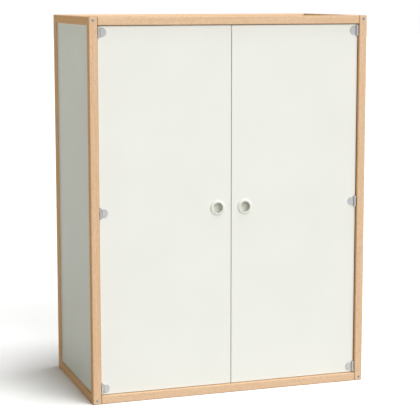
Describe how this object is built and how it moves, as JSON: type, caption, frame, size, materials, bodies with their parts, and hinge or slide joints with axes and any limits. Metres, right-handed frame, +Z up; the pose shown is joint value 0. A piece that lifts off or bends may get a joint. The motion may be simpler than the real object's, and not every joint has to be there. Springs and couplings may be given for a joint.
{
  "type": "two-door cabinet",
  "caption": "Free-standing cupboard with a rounded wooden frame, white infill panels, inset swing doors on pinned hinges with round finger pulls, and shelves inside.",
  "frame": {"origin": "on the floor under the middle of the cabinet", "axes": "+X to the right seen from the front, +Y to the back, +Z up"},
  "size_m": [0.762, 0.408, 1],
  "materials": {
    "beech": "clear satin lacquer",
    "white_lacquer": "white satin lacquer on board",
    "satin_nickel": "satin",
    "zinc_steel": "zinc plated",
    "white_plastic": "satin moulded",
    "ferrite": "matt"
  },
  "bodies": {
    "cabinet": {"front_left_post": "beech", "front_right_post": "beech", "back_left_post": "beech", "back_right_post": "beech", "top_front_rail": "beech", "top_back_rail": "beech", "top_left_rail": "beech", "top_right_rail": "beech", "bottom_front_rail": "beech", "bottom_back_rail": "beech", "bottom_left_rail": "beech", "bottom_right_rail": "beech", "left_side_panel": "white_lacquer", "right_side_panel": "white_lacquer", "back_panel": "white_lacquer", "top_panel": "white_lacquer", "bottom_panel": "white_lacquer", "upper_shelf": "white_lacquer", "lower_shelf": "white_lacquer", "shelf_pins": "zinc_steel", "frame_screws": "zinc_steel", "left_lower_hinge_leaf": "satin_nickel", "left_middle_hinge_leaf": "satin_nickel", "left_upper_hinge_leaf": "satin_nickel", "right_lower_hinge_leaf": "satin_nickel", "right_middle_hinge_leaf": "satin_nickel", "right_upper_hinge_leaf": "satin_nickel", "left_lower_hinge_pin": "satin_nickel", "left_middle_hinge_pin": "satin_nickel", "left_upper_hinge_pin": "satin_nickel", "right_lower_hinge_pin": "satin_nickel", "right_middle_hinge_pin": "satin_nickel", "right_upper_hinge_pin": "satin_nickel", "hinge_leaf_screws": "zinc_steel", "catch_block": "white_plastic", "catch_magnets": "ferrite", "catch_screws": "zinc_steel"},
    "left_door_body": {"left_door": "white_lacquer", "left_finger_pull": "white_plastic", "left_lower_hinge_plate": "satin_nickel", "left_middle_hinge_plate": "satin_nickel", "left_upper_hinge_plate": "satin_nickel", "left_clamp_discs": "satin_nickel", "left_clamp_screws": "zinc_steel", "left_strike_plate": "zinc_steel", "left_strike_screws": "zinc_steel"},
    "right_door_body": {"right_door": "white_lacquer", "right_finger_pull": "white_plastic", "right_lower_hinge_plate": "satin_nickel", "right_middle_hinge_plate": "satin_nickel", "right_upper_hinge_plate": "satin_nickel", "right_clamp_discs": "satin_nickel", "right_clamp_screws": "zinc_steel", "right_strike_plate": "zinc_steel", "right_strike_screws": "zinc_steel"}
  },
  "joints": [
    {"name": "left_door_hinge", "type": "hinge", "parent": "cabinet", "child": "left_door_body", "pos_m": [-0.3555, -0.1993, 0.5], "axis": [0, 0, -1], "range_deg": [0, 140]},
    {"name": "right_door_hinge", "type": "hinge", "parent": "cabinet", "child": "right_door_body", "pos_m": [0.3555, -0.1993, 0.5], "axis": [0, 0, 1], "range_deg": [0, 140]}
  ]
}
